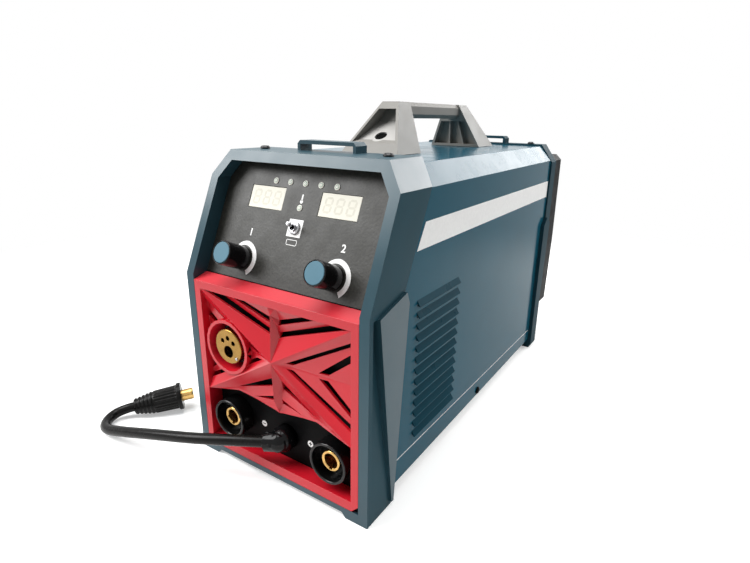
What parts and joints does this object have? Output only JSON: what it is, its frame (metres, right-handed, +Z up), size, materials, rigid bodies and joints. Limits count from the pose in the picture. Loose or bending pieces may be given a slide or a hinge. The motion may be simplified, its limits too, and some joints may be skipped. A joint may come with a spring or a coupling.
{
  "type": "mig welding machine",
  "caption": "Portable inverter MIG welder: sheet-metal case with moulded front and rear frames, faceted socket grille, tilted control panel, carry handle and spool door.",
  "frame": {"origin": "on the floor, under the middle of the machine without its loose cable", "axes": "+Z up, +X to the right of someone facing the front, front towards -Y"},
  "size_m": [0.3222, 0.549, 0.3343],
  "materials": {
    "frame_plastic": "satin moulded plastic",
    "cover_paint": "gloss paint",
    "red_plastic": "satin moulded plastic",
    "handle_grey": "satin moulded plastic",
    "panel_black": "fine texture",
    "black_plastic": "satin",
    "knob_black": "gloss",
    "cap_blue": "satin",
    "meter_lens": "clear window over a cream digit block",
    "brass": "turned",
    "zinc_steel": "zinc plated",
    "chrome": "plated",
    "black_screw": "black oxide",
    "aluminium": "extruded",
    "board": "circuit board",
    "ferrite": "matt",
    "rubber": "matt"
  },
  "bodies": {
    "case": {"arm_stop": "zinc_steel", "base_tray": "zinc_steel", "bulkhead": "zinc_steel", "cable_gland": "black_plastic", "carry_handle": "handle_grey", "control_panel": "panel_black", "current_meter": "meter_lens", "current_pot": "zinc_steel", "dinse_housing_left": "black_plastic", "dinse_housing_right": "black_plastic", "dinse_insert_left": "brass", "dinse_insert_right": "brass", "display_board": "board", "euro_insulator": "black_plastic", "euro_socket": "brass", "fan_frame": "black_plastic", "feed_motor": "zinc_steel", "feeder_plate": "black_plastic", "front_frame": "frame_plastic", "front_grille": "red_plastic", "front_screw_left": "black_screw", "front_screw_right": "black_screw", "gas_inlet": "brass", "heat_sink": "aluminium", "hinge_lower": "zinc_steel", "hinge_upper": "zinc_steel", "hub_axle": "black_plastic", "inverter_board": "board", "mains_gland": "black_plastic", "plug_body": "rubber", "plug_pin": "brass", "polarity_cable": "rubber", "power_switch": "black_plastic", "rear_frame": "frame_plastic", "rear_guard": "black_plastic", "rear_panel": "zinc_steel", "rear_screw_left": "black_screw", "rear_screw_right": "black_screw", "socket_panel": "panel_black", "toggle_switch": "chrome", "top_cover": "cover_paint", "transformer": "ferrite", "voltage_meter": "meter_lens", "voltage_pot": "zinc_steel"},
    "door": {"side_door": "cover_paint"},
    "latch": {"door_latch": "black_plastic"},
    "voltage_dial": {"voltage_knob": "knob_black", "voltage_cap": "cap_blue", "voltage_spindle": "zinc_steel"},
    "current_dial": {"current_knob": "knob_black", "current_cap": "cap_blue", "current_spindle": "zinc_steel"},
    "mode_lever": {"toggle_lever": "chrome"},
    "rocker": {"power_rocker": "black_plastic"},
    "fan": {"fan_rotor": "black_plastic"},
    "drive": {"drive_roll": "zinc_steel"},
    "arm": {"pressure_arm": "black_plastic"},
    "idler": {"idler_roll": "zinc_steel"},
    "tension": {"tension_knob": "red_plastic"},
    "hub": {"spool_hub": "black_plastic"}
  },
  "joints": [
    {"name": "voltage_turn", "type": "hinge", "parent": "case", "child": "voltage_dial", "pos_m": [-0.0505, -0.22127, 0.19946], "axis": [0, -0.9143, 0.4051], "range_deg": [-135, 135]},
    {"name": "current_turn", "type": "hinge", "parent": "case", "child": "current_dial", "pos_m": [0.0505, -0.22127, 0.19946], "axis": [0, -0.9143, 0.4051], "range_deg": [-135, 135]},
    {"name": "mode_flip", "type": "hinge", "parent": "case", "child": "mode_lever", "pos_m": [0, -0.20853, 0.23067], "axis": [1, 0, 0], "range_deg": [0, 20]},
    {"name": "power_rock", "type": "hinge", "parent": "case", "child": "rocker", "pos_m": [0.052, 0.20174, 0.035], "axis": [1, 0, 0], "range_deg": [0, 18]},
    {"name": "fan_spin", "type": "hinge", "parent": "case", "child": "fan", "pos_m": [0.022, 0.21424, 0.16], "axis": [0, 1, 0], "continuous": true},
    {"name": "door_swing", "type": "hinge", "parent": "case", "child": "door", "pos_m": [-0.0994, 0.16644, 0.142], "axis": [0, 0, -1], "range_deg": [0, 105]},
    {"name": "latch_turn", "type": "hinge", "parent": "door", "child": "latch", "pos_m": [-0.0983, -0.11214, 0.142], "axis": [1, 0, 0], "range_deg": [0, 90]},
    {"name": "hub_spin", "type": "hinge", "parent": "case", "child": "hub", "pos_m": [-0.0581, 0.03144, 0.15], "axis": [1, 0, 0], "continuous": true},
    {"name": "drive_spin", "type": "hinge", "parent": "case", "child": "drive", "pos_m": [-0.054, -0.11856, 0.0994], "axis": [1, 0, 0], "continuous": true},
    {"name": "arm_lift", "type": "hinge", "parent": "case", "child": "arm", "pos_m": [-0.0456, -0.14356, 0.1295], "axis": [1, 0, 0], "range_deg": [0, 40], "stiffness_Nm_per_rad": 0.5},
    {"name": "idler_spin", "type": "hinge", "parent": "arm", "child": "idler", "pos_m": [-0.054, -0.11856, 0.127], "axis": [1, 0, 0], "continuous": true},
    {"name": "tension_turn", "type": "hinge", "parent": "arm", "child": "tension", "pos_m": [-0.0456, -0.10456, 0.1365], "axis": [0, 0, 1], "range_deg": [-180, 540]}
  ],
  "couplings": [
    {"joint": "idler_spin", "follows": "drive_spin", "ratio": -1.4182}
  ]
}
